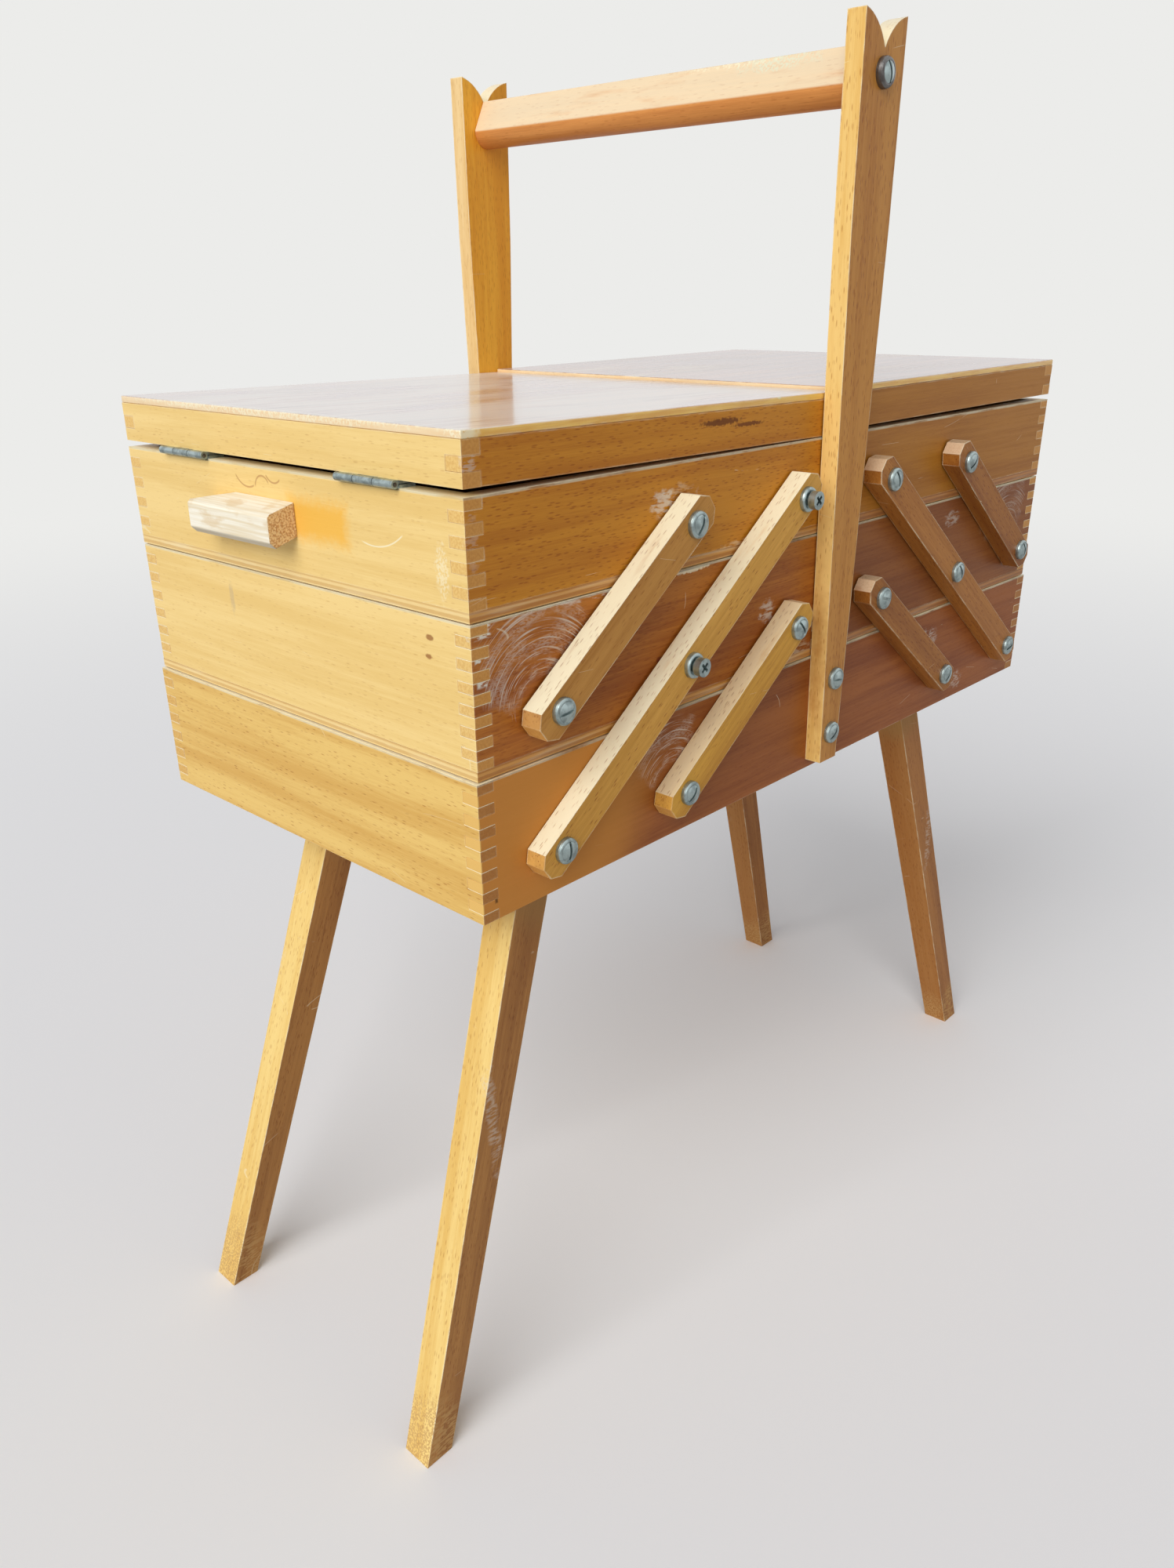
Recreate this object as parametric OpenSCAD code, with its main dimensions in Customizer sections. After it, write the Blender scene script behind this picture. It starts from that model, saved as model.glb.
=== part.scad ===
// Cantilever sewing carrier: a base box on four splayed legs, two stacked trays and a lid on each
// side, link arms that swing the trays outward, and a carrying handle over the middle.
// X runs along the box (left end at -X), the front face looks along -Y, and Z = 0 is the floor.

/* [Box] */
// Length of the base box, end to end
box_len = 440; // [400:5:500]
// Depth of the trays and lids, front to back
tray_d = 217; // [190:1:260]
// Height of the base box's lower edge above the floor
leg_h = 280; // [220:5:340]
// Height of the base box
base_h = 56.6; // [50:0.2:66]
// Height of a middle tray, with its plywood bottom
mid_h = 56.5; // [50:0.5:62]
// Height of a top tray, with its plywood bottom
top_h = 41; // [37:0.5:50]
// Height of a lid's rim, below its panel
lid_rim_h = 15.2; // [12:0.1:20]
// Thickness of a lid's panel
panel_t = 2.8; // [2:0.1:5]

/* [Boards] */
// Thickness of the walls of the base box, trays and lids
wall_t = 8; // [7:0.5:10]
// Thickness of the plywood bottoms under the trays
ply_t = 3.6; // [3:0.1:5]
// Thickness of the base box's bottom board
floor_t = 5; // [4:0.5:7]
// Height of the bottom board above the base box's lower edge
floor_up = 5; // [4:0.5:8]
// Depth of the groove that holds the bottom board
groove_deep = 4; // [2:0.5:5]
// Width of a finger in the corner joints, before it is fitted to the board's height
finger_w = 4.4; // [3.5:0.1:7]

/* [Clearances] */
// Gap between stacked trays
stack_gap = 0.6; // [0.3:0.1:1]
// Gap between the left and right trays at the middle
centre_gap = 0.8; // [0.4:0.1:2]
// How much deeper the base box is than the trays, on each face
side_play = 0.6; // [0.4:0.1:1.2]
// How much the base box juts out past the trays, at each end
end_jut = 1.2; // [0:0.1:3]
// Gap between the link arms and the base box's face
arm_play = 0.3; // [0.2:0.1:0.6]
// Running clearance of the arms on their screws
pivot_play = 0.1; // [0.05:0.01:0.1]
// Clearance of a screw in its pilot hole
pilot_play = 0.04; // [0.02:0.01:0.1]
// Gap between a washer and what it sits on, and between a screw head and its washer
seat_play = 0.08; // [0.04:0.01:0.15]

/* [Link arms] */
// Distance from the middle of the box to the innermost pivots
pivot_in = 36; // [32:1:44]
// Distance between neighbouring pivots along the box
pivot_pitch = 75; // [65:1:76]
// Height of the base box's pivots above its lower edge
base_pivot_up = 22.5; // [20:0.5:30]
// Height of a middle tray's pivots above its underside
mid_pivot_up = 20.7; // [18:0.1:26]
// Width of an arm
arm_w = 14.5; // [12:0.5:18]
// Thickness of an arm
arm_t = 9.5; // [8:0.5:12]
// Length of an arm past its last pivot
arm_over = 12; // [9:0.5:13]
// Size of the clipped corners at an arm's ends
arm_clip = 4.2; // [2:0.1:5.5]

/* [Screws] */
// Radius of the shank of the pivot and upright screws
screw_r = 2; // [1.6:0.1:2.4]
// Depth of the screws in the walls
screw_bite = 7; // [5:0.5:7]
// Radius of a screw's head
head_r = 3.8; // [3.4:0.1:4.2]
// Height of the dome on a screw's head
dome_h = 1; // [0.8:0.1:1.6]
// Width of a screw's slot
slot_w = 1.1; // [0.8:0.1:1.4]
// Outer radius of a cup washer
washer_r = 5.3; // [5:0.1:6]
// Height of a cup washer
washer_h = 2.3; // [1.8:0.1:3]
// Height of a cross-head replacement screw's head
cross_h = 3.2; // [2.4:0.1:4]
// How far a cross-head screw stands off its washer
cross_off = 0.8; // [0.5:0.1:2]
// Height of a washer's upright edge
washer_edge = 1.2; // [0.8:0.1:1.4]
// Width of the lip round a screw's head
washer_lip = 0.5; // [0.3:0.05:0.6]
// Outer radius of the cup washers at the handle
grip_washer_r = 5.6; // [5:0.1:7]
// Height of the cup washers at the handle
grip_washer_h = 2.8; // [2.4:0.1:4]
// Depth of the handle's screws in the bar
grip_bite = 26; // [15:1:40]

/* [Handle] */
// Thickness of an upright
upright_t = 8.4; // [7:0.2:12]
// Width of an upright at its lower end
upright_foot_w = 13.6; // [13:0.2:20]
// Width of an upright where its taper eases off
upright_waist_w = 28.8; // [24:0.2:34]
// Width of an upright at its tips
upright_top_w = 30.4; // [26:0.2:36]
// Height of that easing above the base box's lower edge
upright_waist_up = 238; // [200:1:250]
// Height of the uprights' tips above the base box's lower edge
upright_h = 309.8; // [290:0.2:340]
// Distance of the uprights' lower ends above the base box's lower edge
upright_lift = 4.6; // [0:0.2:6]
// Depth of the fishtail notch in an upright's top
notch_deep = 11.6; // [6:0.2:14]
// Radius of the two curves that form the notch
notch_r = 22; // [16:1:60]
// Height of the lower screw in an upright above the base box's lower edge
upright_screw_low = 19; // [12:1:22]
// Distance between the two lower screws in an upright
upright_screw_gap = 27; // [20:1:28]
// Width of the handle bar
bar_w = 16; // [14:0.5:18]
// Height of the handle bar above its two side ridges
bar_up = 13; // [9:0.5:15]
// Depth of the handle bar below its two side ridges
bar_down = 8; // [6:0.5:12]
// Half the width of the handle bar's flat top
bar_flat = 1.5; // [0.5:0.1:3]
// Distance of the handle bar's side ridges below the uprights' tips
bar_drop = 22.5; // [18:0.5:26]

/* [Legs] */
// Distance of a leg's top inside the base box's end, along the box
leg_inset_x = 68; // [50:1:90]
// Distance of a leg's top inside the base box's face, across the box
leg_inset_y = 45.1; // [34.1:1:59.1]
// Distance of a foot's middle outside the base box's end, along the box
foot_out_x = 28; // [-30:1:50]
// Distance of a foot's middle inside the base box's face, across the box
foot_inset_y = 27.1; // [-0.9:1:49.1]
// Width of a leg's top, along the box
leg_top_w = 20; // [18:0.5:26]
// Width of a leg's top, across the box
leg_top_d = 18; // [16:0.5:26]
// Width of a foot, along the box
foot_w = 15; // [12:0.5:18]
// Width of a foot, across the box
foot_d = 16; // [12:0.5:18]
// Radius of the screws that hold the legs
leg_screw_r = 1.9; // [1.5:0.1:2.2]
// Length of those screws below their heads
leg_screw_len = 20; // [14:1:28]
// Distance between the two screws of a leg, across the box
leg_screw_gap = 9; // [8:0.5:10]

/* [Pulls] */
// Length of a whole pull
pull_len = 86; // [60:1:110]
// How far a pull stands out from the tray's end
pull_out = 12.5; // [10:0.5:16]
// Height of a pull at its back
pull_h = 13; // [11:0.5:15]
// Height of a pull's middle above the top tray's underside
pull_up = 23.5; // [20:0.5:28]
// Length of the taper at each end of a pull
pull_taper = 24; // [10:1:28]
// How far a pull's top falls over that taper
pull_fall = 3; // [2:0.5:6]
// How much lower a pull's front is than its back
pull_lean = 3; // [1:0.5:4]
// Size of the bevel along a pull's lower front edge
pull_nose = 2.4; // [1:0.2:3]
// Length left of the left pull on the near side of the middle
pull_stub = 13; // [5:0.5:25]

/* [Hinges] */
// Length of a hinge
hinge_len = 33; // [28:1:40]
// Distance of a hinge's middle from the middle of the lid
hinge_y = 60; // [40:1:68]
// Thickness of a hinge's leaf
leaf_t = 1.2; // [1:0.1:1.4]
// Width of a hinge's leaf on the wall
leaf_w = 7; // [6:0.5:7]
// Gap between the two leaves of a closed hinge
leaf_gap = 0.3; // [0.2:0.05:0.4]
// Outer radius of a hinge's knuckles
knuckle_r = 1.5; // [1.4:0.1:1.8]
// Radius of a hinge's pin
pin_r = 0.7; // [0.6:0.05:0.8]
// Gap between neighbouring knuckles
knuckle_gap = 0.3; // [0.2:0.05:0.5]
// Gap between a hinge's knuckles and the edges of the walls that they lie along
knuckle_play = 0.7; // [0.5:0.05:0.9]
// Radius of the hinge screws
hinge_screw_r = 1; // [0.8:0.1:1.1]
// Gap under the closed left lid at the middle of the box
lid_rest_gap = 0.3; // [0.2:0.05:0.5]
// How much higher the closed right lid rests at the middle of the box
right_lid_lift = 1.5; // [0:0.1:2]

/* [Hidden] */
LEFT = -1;
RIGHT = 1;
FRONT = -1;
BACK = 1;
round_fn = 48;
dome_fn = 96;
// Extra length of a cutting shape past the face that it cuts
eps = 1;

base_d = tray_d + 2 * side_play;
mid_z = leg_h + base_h + stack_gap;
top_z = mid_z + mid_h + stack_gap;
rim_z = top_z + top_h;
tray_x0 = centre_gap / 2;
tray_x1 = box_len / 2 - end_jut;
tray_len = tray_x1 - tray_x0;

// The arms' pivots, from the innermost column outward, and the rise from one level to the next
pivot_x = [pivot_in, pivot_in + pivot_pitch, pivot_in + 2 * pivot_pitch];
rise = base_h + stack_gap + mid_pivot_up - base_pivot_up;
pivot_z = [leg_h + base_pivot_up, leg_h + base_pivot_up + rise, leg_h + base_pivot_up + 2 * rise];
arm_angle = atan2(rise, -pivot_pitch);
arm_reach = norm([rise, pivot_pitch]);
arm_y0 = base_d / 2 + arm_play;
arm_y1 = arm_y0 + arm_t;
upright_y1 = base_d / 2 + upright_t;

upright_z0 = leg_h + upright_lift;
upright_z1 = leg_h + upright_h;
bar_z = upright_z1 - bar_drop;
grip_z = bar_z + (bar_up - bar_down) / 2;
bar_arc_steps = 12;
notch_steps = 8;
// The least radius of a notch's curve, as a share of its chord
notch_r_least = 0.6;

hinge_gap = 2 * leaf_t + leaf_gap;
axis_out = sqrt(pow(knuckle_r + knuckle_play, 2) - pow(hinge_gap / 2, 2));
axis_x = tray_x1 + axis_out;
plate_x1 = axis_x - knuckle_r - knuckle_gap;
axis_z = rim_z + hinge_gap / 2;
lid_z = rim_z + hinge_gap;

// The angle by which a closed lid leans down from its hinges
function lid_tilt(side) =
    asin((hinge_gap - lid_rest_gap - (side == RIGHT ? right_lid_lift : 0)) / (axis_x - tray_x0));

hinge_screw_len = 7;
hinge_screw_edge = wall_t / 2;
hinge_head_r = 1.9;

leg_top_x = box_len / 2 - leg_inset_x;
leg_top_y = base_d / 2 - leg_inset_y;
foot_x = box_len / 2 + foot_out_x;
foot_y = base_d / 2 - foot_inset_y;
// The leg screws stand on the middle of the splayed legs, half their length down
leg_screw_share = leg_screw_len / 2 / (leg_h + floor_up);
leg_screw_x = leg_top_x + (foot_x - leg_top_x) * leg_screw_share;
leg_screw_y = leg_top_y + (foot_y - leg_top_y) * leg_screw_share;
leg_head_r = 3.7;
leg_pilot_play = 0.3;
cross_arm_w = 1.2;
cross_arm_len = 4.6;
cross_deep = 1.8;
slot_deep = 1.2;
washer_arc = 30;
// Where the slots came to a stop on the front left, in degrees, and how far other screws are turned
pivot_turns = [[0, 50, 85], [125, 0, 8], [0, 65, 0]];
upright_turns = [135, 5];
grip_turn = 75;
side_turn = 35;
face_turn = 24;

beech_light = [0.93, 0.77, 0.50];
beech_front = [0.72, 0.47, 0.23];
beech_arm = [0.83, 0.66, 0.42];
beech_leg = [0.80, 0.58, 0.28];
ply_pale = [0.90, 0.76, 0.52];
veneer_red = [0.55, 0.32, 0.24];
zinc = [0.66, 0.68, 0.68];
steel_dark = [0.42, 0.42, 0.42];

// An odd number of fingers, so that the same board has the top and the bottom one
function fingers(h) = 2 * round((h / finger_w - 1) / 2) + 1;

// Everything on the sides is drawn for the right-hand side, and mirrored for the left
module on_side(side) {
    if (side == LEFT) mirror([1, 0, 0]) children();
    else children();
}

// A shape drawn for the back face, and mirrored for the front
module on_face(face) {
    if (face == FRONT) mirror([0, 1, 0]) children();
    else children();
}

// Stands a shape that is drawn along +Z so that it points along +Y from the given place
module facing_back(x, y, z) {
    translate([x, y, z]) rotate([-90, 0, 0]) children();
}

// The outline of a board with fingers at both ends; first is the lowest finger that it has
module fingered_outline(length, h, first) {
    count = fingers(h);
    pitch = h / count;
    translate([wall_t, 0]) square([length - 2 * wall_t, h]);
    for (i = [first:2:count - 1]) translate([0, i * pitch]) square([length, pitch]);
}

// A wall along X, with the second, fourth and so on of the fingers
module side_board(x0, length, y0, z0, h) {
    translate([x0, y0 + wall_t, z0]) rotate([90, 0, 0])
        linear_extrude(wall_t) fingered_outline(length, h, 1);
}

// A wall along Y, with the first, third and so on of the fingers
module end_board(x0, depth, z0, h) {
    translate([x0, -depth / 2, z0]) rotate([90, 0, 90])
        linear_extrude(wall_t) fingered_outline(depth, h, 0);
}

// The pilot hole of a screw in the outer face of a back wall
module pilot(x, z, face_y) {
    facing_back(x, face_y - screw_bite - pilot_play, z)
        cylinder(h = screw_bite + pilot_play + eps, r = screw_r + pilot_play, $fn = round_fn);
}

// A slotted countersunk screw with a domed head; Z = 0 is the foot of its washer
module slotted_screw(below, washer_top, r, turn) {
    cone_z = washer_top - (r - screw_r);
    sphere_r = dome_sphere_r(r);
    difference() {
        rotate_extrude($fn = round_fn) union() {
            polygon([[0, -below], [screw_r, -below], [screw_r, cone_z], [r, washer_top], [0, washer_top]]);
            intersection() {
                translate([0, washer_top + dome_h - sphere_r]) circle(r = sphere_r, $fn = dome_fn);
                translate([0, washer_top]) square([r, dome_h]);
            }
        }
        rotate([0, 0, turn]) translate([-r - eps, -slot_w / 2, washer_top + dome_h - slot_deep])
            cube([2 * (r + eps), slot_w, slot_deep + eps]);
    }
}

// The radius of a dome's sphere, from the radius of its rim
function dome_sphere_r(r) = (pow(r, 2) + pow(dome_h, 2)) / (2 * dome_h);

// A cross-head screw that stands off its washer
module cross_screw(below, washer_top) {
    head_z = washer_top + cross_off;
    difference() {
        union() {
            translate([0, 0, -below]) cylinder(h = below + head_z, r = screw_r, $fn = round_fn);
            translate([0, 0, head_z]) cylinder(h = cross_h, r = head_r, $fn = round_fn);
        }
        for (a = [45, 135]) rotate([0, 0, a])
            translate([-cross_arm_len / 2, -cross_arm_w / 2, head_z + cross_h - cross_deep])
                cube([cross_arm_len, cross_arm_w, cross_deep + eps]);
    }
}

// A cup washer with a rounded rim and a conical seat for the screw's head
module cup_washer(r, h, seat_r) {
    bore = screw_r + seat_play;
    lip_r = seat_r + washer_lip + seat_play;
    rim = [for (a = [0:washer_arc:90])
        [lip_r + (r - lip_r) * cos(a), washer_edge + (h - washer_edge) * sin(a)]];
    rotate_extrude($fn = round_fn) polygon(concat(
        [[bore, seat_play], [r, seat_play]], rim, [[seat_r + seat_play, h], [bore, h - (seat_r - screw_r)]]
    ));
}

// Screws through the arms, in the given columns of one level, on both faces of one side;
// the column in crossed, if any, has a replacement screw at the front
module pivot_screws(side, columns, level, wall_face, crossed = -1) {
    below = arm_y1 - wall_face + screw_bite;
    for (face = [FRONT, BACK], c = columns) on_side(side) on_face(face)
        facing_back(pivot_x[c], arm_y1, pivot_z[level]) {
            turn = pivot_turns[level][c] + side_turn * (side - LEFT) + face_turn * (face - FRONT);
            if (face == FRONT && c == crossed) cross_screw(below, washer_h);
            else slotted_screw(below, washer_h, head_r, turn);
        }
}

module pivot_washers(columns, level) {
    for (face = [FRONT, BACK], c = columns) on_face(face)
        facing_back(pivot_x[c], arm_y1, pivot_z[level]) cup_washer(washer_r, washer_h, head_r);
}

// An arm from one pivot up toward the middle, with a bore for each of its screws, on both faces
module arm_pair(column, level, bores) {
    half = arm_w / 2;
    x1 = (bores - 1) * arm_reach + arm_over;
    for (face = [FRONT, BACK]) on_face(face)
        translate([pivot_x[column], arm_y1, pivot_z[level]]) rotate([90, -arm_angle, 0])
            difference() {
                linear_extrude(arm_t) polygon([
                    [-arm_over, -half + arm_clip], [-arm_over + arm_clip, -half],
                    [x1 - arm_clip, -half], [x1, -half + arm_clip],
                    [x1, half - arm_clip], [x1 - arm_clip, half],
                    [-arm_over + arm_clip, half], [-arm_over, half - arm_clip]
                ]);
                for (i = [0:bores - 1]) translate([i * arm_reach, 0, -eps])
                    cylinder(h = arm_t + 2 * eps, r = screw_r + pivot_play, $fn = round_fn);
            }
}

// Base box

module base_floor_board() {
    x = box_len / 2 - wall_t + groove_deep;
    y = base_d / 2 - wall_t + groove_deep;
    translate([-x, -y, leg_h + floor_up]) cube([2 * x, 2 * y, floor_t]);
}

module base_side(face) {
    color(beech_front) on_face(face) difference() {
        side_board(-box_len / 2, box_len, base_d / 2 - wall_t, leg_h, base_h);
        base_floor_board();
        for (side = [LEFT, RIGHT], c = [1, 2]) pilot(side * pivot_x[c], pivot_z[0], base_d / 2);
        for (z = upright_screw_zs()) pilot(0, z, base_d / 2);
    }
}

module base_end(side) {
    color(beech_light) on_side(side) difference() {
        end_board(box_len / 2 - wall_t, base_d, leg_h, base_h);
        base_floor_board();
    }
}

module base_bottom() {
    color(ply_pale) difference() {
        base_floor_board();
        leg_screw_places() countersunk_hole(leg_screw_r, leg_head_r, floor_t + eps);
    }
}

// Legs

module leg_screw_places() {
    top = leg_h + floor_up + floor_t;
    for (side = [LEFT, RIGHT], face = [FRONT, BACK], k = [-1, 1])
        translate([side * leg_screw_x, face * leg_screw_y + k * leg_screw_gap / 2, top]) children();
}

// The hole of a countersunk screw whose head lies flush at Z = 0
module countersunk_hole(r, rim_r, depth) {
    rotate_extrude($fn = round_fn) polygon([
        [0, -depth], [r + pilot_play, -depth], [r + pilot_play, r - rim_r],
        [rim_r + pilot_play, 0], [rim_r + pilot_play, eps], [0, eps]
    ]);
}

module countersunk_screw(r, rim_r, length) {
    rotate_extrude($fn = round_fn) polygon([
        [0, -length], [r, -length], [r, r - rim_r - pilot_play], [rim_r - pilot_play, -pilot_play],
        [0, -pilot_play]
    ]);
}

module leg_screws() {
    color(steel_dark) leg_screw_places()
        countersunk_screw(leg_screw_r, leg_head_r, leg_screw_len + floor_t);
}

// A splayed and tapered leg, from the floor to the underside of the bottom board
module leg(side, face) {
    corners = [[-1, -1], [1, -1], [1, 1], [-1, 1]];
    top_zz = leg_h + floor_up;
    points = concat(
        [for (c = corners) [foot_x + c[0] * foot_w / 2, foot_y + c[1] * foot_d / 2, 0]],
        [for (c = corners) [leg_top_x + c[0] * leg_top_w / 2, leg_top_y + c[1] * leg_top_d / 2, top_zz]]
    );
    color(beech_leg) difference() {
        on_side(side) on_face(face) polyhedron(points, [
            [0, 1, 2, 3], [7, 6, 5, 4], [0, 4, 5, 1], [1, 5, 6, 2], [2, 6, 7, 3], [3, 7, 4, 0]
        ]);
        leg_screw_places() translate([0, 0, -floor_t - leg_screw_len - pilot_play])
            cylinder(h = leg_screw_len + eps, r = leg_screw_r + leg_pilot_play, $fn = round_fn);
    }
}

// Handle

function upright_screw_zs() = [for (k = [0, 1]) leg_h + upright_screw_low + k * upright_screw_gap];

// Points of the curve from an upright's right-hand tip down to the bottom of its notch
function notch_curve() =
    let (
        tip = [upright_top_w / 2, upright_z1],
        low = [0, upright_z1 - notch_deep],
        chord = norm(tip - low),
        along = (tip - low) / chord,
        out = [-along[1], along[0]],
        r = max(notch_r, chord * notch_r_least),
        centre = (tip + low) / 2 - out * sqrt(pow(r, 2) - pow(chord / 2, 2)),
        half = asin(chord / 2 / r)
    ) [for (i = [0:notch_steps]) let (a = half * (1 - 2 * i / notch_steps))
        centre + r * (along * sin(a) + out * cos(a))];

module upright(face) {
    curve = notch_curve();
    right = concat(
        [[upright_foot_w / 2, upright_z0], [upright_waist_w / 2, leg_h + upright_waist_up]], curve
    );
    left = [for (i = [len(right) - 2:-1:0]) [-right[i][0], right[i][1]]];
    color(beech_front) on_face(face) difference() {
        translate([0, upright_y1, 0]) rotate([90, 0, 0]) linear_extrude(upright_t)
            polygon(concat(right, left));
        for (z = concat(upright_screw_zs(), [grip_z])) facing_back(0, base_d / 2 - eps, z)
            cylinder(h = upright_t + 2 * eps, r = screw_r + pilot_play, $fn = round_fn);
    }
}

// A bar with steep upper faces that meet in a narrow flat, and a rounded underside
module handle_bar() {
    half = bar_w / 2;
    under = [for (i = [0:bar_arc_steps]) let (a = 180 + 180 * i / bar_arc_steps)
        [half * cos(a), bar_down * sin(a)]];
    color(beech_arm) difference() {
        translate([0, base_d / 2, bar_z]) rotate([90, 0, 0]) linear_extrude(base_d)
            polygon(concat(under, [[bar_flat, bar_up], [-bar_flat, bar_up]]));
        for (face = [FRONT, BACK]) on_face(face) facing_back(0, base_d / 2 - grip_bite - pilot_play, grip_z)
            cylinder(h = grip_bite + pilot_play + eps, r = screw_r + pilot_play, $fn = round_fn);
    }
}

module base_screws() {
    color(zinc) {
        for (side = [LEFT, RIGHT]) pivot_screws(side, [1, 2], 0, base_d / 2);
        for (face = [FRONT, BACK]) on_face(face) {
            for (k = [0, 1]) facing_back(0, upright_y1, upright_screw_zs()[k]) {
                turn = upright_turns[k] + face_turn * (face - FRONT);
                slotted_screw(upright_t + screw_bite, washer_h, head_r, turn);
            }
            facing_back(0, upright_y1, grip_z)
                slotted_screw(upright_t + grip_bite, grip_washer_h, head_r, grip_turn);
        }
    }
}

module base_washers() {
    color(zinc) {
        for (side = [LEFT, RIGHT]) on_side(side) pivot_washers([1, 2], 0);
        for (face = [FRONT, BACK], z = upright_screw_zs()) on_face(face)
            facing_back(0, upright_y1, z) cup_washer(washer_r, washer_h, head_r);
    }
}

module handle_washers() {
    color(steel_dark) for (face = [FRONT, BACK]) on_face(face)
        facing_back(0, upright_y1, grip_z) cup_washer(grip_washer_r, grip_washer_h, head_r);
}

// Link arms

module long_arms(side) {
    color(beech_arm) on_side(side) arm_pair(2, 0, 3);
}

module lower_arms(side) {
    color(beech_arm) on_side(side) arm_pair(1, 0, 2);
}

module upper_arms(side) {
    color(beech_arm) on_side(side) arm_pair(2, 1, 2);
}

// Trays

module tray_sides(side, z0, h, columns, level) {
    color(beech_front) on_side(side) for (face = [FRONT, BACK]) on_face(face) difference() {
        side_board(tray_x0, tray_len, tray_d / 2 - wall_t, z0 + ply_t, h - ply_t);
        for (c = columns) pilot(pivot_x[c], pivot_z[level], tray_d / 2);
    }
}

module tray_inner_end(side, z0, h) {
    color(beech_light) on_side(side) end_board(tray_x0, tray_d, z0 + ply_t, h - ply_t);
}

module tray_bottom(side, z0) {
    color(ply_pale) on_side(side) translate([tray_x0, -tray_d / 2, z0]) cube([tray_len, tray_d, ply_t]);
}

module mid_sides(side) {
    tray_sides(side, mid_z, mid_h, [0, 1, 2], 1);
}

module mid_outer_end(side) {
    color(beech_light) on_side(side) end_board(tray_x1 - wall_t, tray_d, mid_z + ply_t, mid_h - ply_t);
}

module top_sides(side) {
    tray_sides(side, top_z, top_h, [0, 1], 2);
}

module top_outer_end(side) {
    color(beech_light) on_side(side) difference() {
        end_board(tray_x1 - wall_t, tray_d, top_z + ply_t, top_h - ply_t);
        hinge_screw_places() translate([0, 0, rim_z - hinge_screw_len])
            cylinder(h = hinge_screw_len + eps, r = hinge_screw_r + pilot_play, $fn = round_fn);
    }
}

module mid_screws(side) {
    color(zinc) pivot_screws(side, [0, 1, 2], 1, tray_d / 2, side == LEFT ? 1 : -1);
}

module mid_washers(side) {
    color(zinc) on_side(side) pivot_washers([0, 1, 2], 1);
}

module top_screws(side) {
    color(zinc) pivot_screws(side, [0, 1], 2, tray_d / 2, side == LEFT ? 0 : -1);
}

module top_washers(side) {
    color(zinc) on_side(side) pivot_washers([0, 1], 2);
}

// A pull glued to the end of a top tray, from one end at y0 to the other at y1
module pull_bar(y0, y1) {
    z = top_z + pull_up;
    half = pull_h / 2;
    intersection() {
        translate([tray_x1, y1, z]) rotate([90, 0, 0]) linear_extrude(y1 - y0) polygon([
            [0, -half], [pull_out - pull_nose, -half - pull_lean],
            [pull_out, -half - pull_lean + pull_nose], [pull_out, half - pull_lean - pull_nose / 2],
            [pull_out - pull_nose / 2, half - pull_lean], [0, half]
        ]);
        translate([tray_x1 - eps, 0, z]) rotate([90, 0, 90]) linear_extrude(pull_out + 2 * eps) polygon([
            [-pull_len / 2, -pull_h], [pull_len / 2, -pull_h], [pull_len / 2, half - pull_fall],
            [pull_len / 2 - pull_taper, half + eps], [-pull_len / 2 + pull_taper, half + eps],
            [-pull_len / 2, half - pull_fall]
        ]);
    }
}

// The left pull is broken off near its middle, and the right one is whole
module left_pull() {
    color(beech_light) on_side(LEFT) pull_bar(-pull_stub, pull_len / 2);
}

module right_pull() {
    color(beech_light) on_side(RIGHT) pull_bar(-pull_len / 2, pull_len / 2);
}

// Hinges

module hinge_screw_places() {
    for (face = [FRONT, BACK], k = [-1, 1])
        translate([tray_x1 - hinge_screw_edge, face * hinge_y + k * hinge_len / 4, 0]) children();
}

// A leaf with its knuckles, which fill the given thirds of the hinge
module hinge_leaf(z0, thirds) {
    third = hinge_len / 3;
    difference() {
        union() {
            translate([tray_x1 - leaf_w, -hinge_len / 2, z0])
                cube([plate_x1 - tray_x1 + leaf_w, hinge_len, leaf_t]);
            for (k = thirds) translate([0, -hinge_len / 2 + k * third + knuckle_gap / 2, 0]) {
                translate([plate_x1 - eps, 0, z0])
                    cube([axis_x - plate_x1 + eps, third - knuckle_gap, leaf_t]);
                translate([axis_x, 0, axis_z]) rotate([-90, 0, 0])
                    cylinder(h = third - knuckle_gap, r = knuckle_r, $fn = round_fn);
            }
        }
        translate([axis_x, -hinge_len / 2 - eps, axis_z]) rotate([-90, 0, 0])
            cylinder(h = hinge_len + 2 * eps, r = pin_r + pivot_play, $fn = round_fn);
    }
}

module tray_hinge_leaves(side) {
    color(zinc) on_side(side) {
        difference() {
            for (face = [FRONT, BACK]) translate([0, face * hinge_y, 0]) hinge_leaf(rim_z, [1]);
            hinge_screw_places() translate([0, 0, rim_z + leaf_t])
                countersunk_hole(hinge_screw_r, hinge_head_r, leaf_t + eps);
        }
        hinge_screw_places() translate([0, 0, rim_z + leaf_t])
            countersunk_screw(hinge_screw_r, hinge_head_r, hinge_screw_len);
    }
}

module hinge_pins(side) {
    color(steel_dark) on_side(side) for (face = [FRONT, BACK])
        translate([axis_x, face * hinge_y - hinge_len / 2, axis_z]) rotate([-90, 0, 0])
            cylinder(h = hinge_len, r = pin_r, $fn = round_fn);
}

// Lids

// Turns a lid, which is drawn level, down about its hinges until its inner end rests
module tilted(side) {
    on_side(side) translate([axis_x, 0, axis_z]) rotate([0, -lid_tilt(side), 0])
        translate([-axis_x, 0, -axis_z]) children();
}

module lid_sides(side) {
    color(beech_front) tilted(side) for (face = [FRONT, BACK]) on_face(face)
        side_board(tray_x0, tray_len, tray_d / 2 - wall_t, lid_z, lid_rim_h);
}

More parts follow.
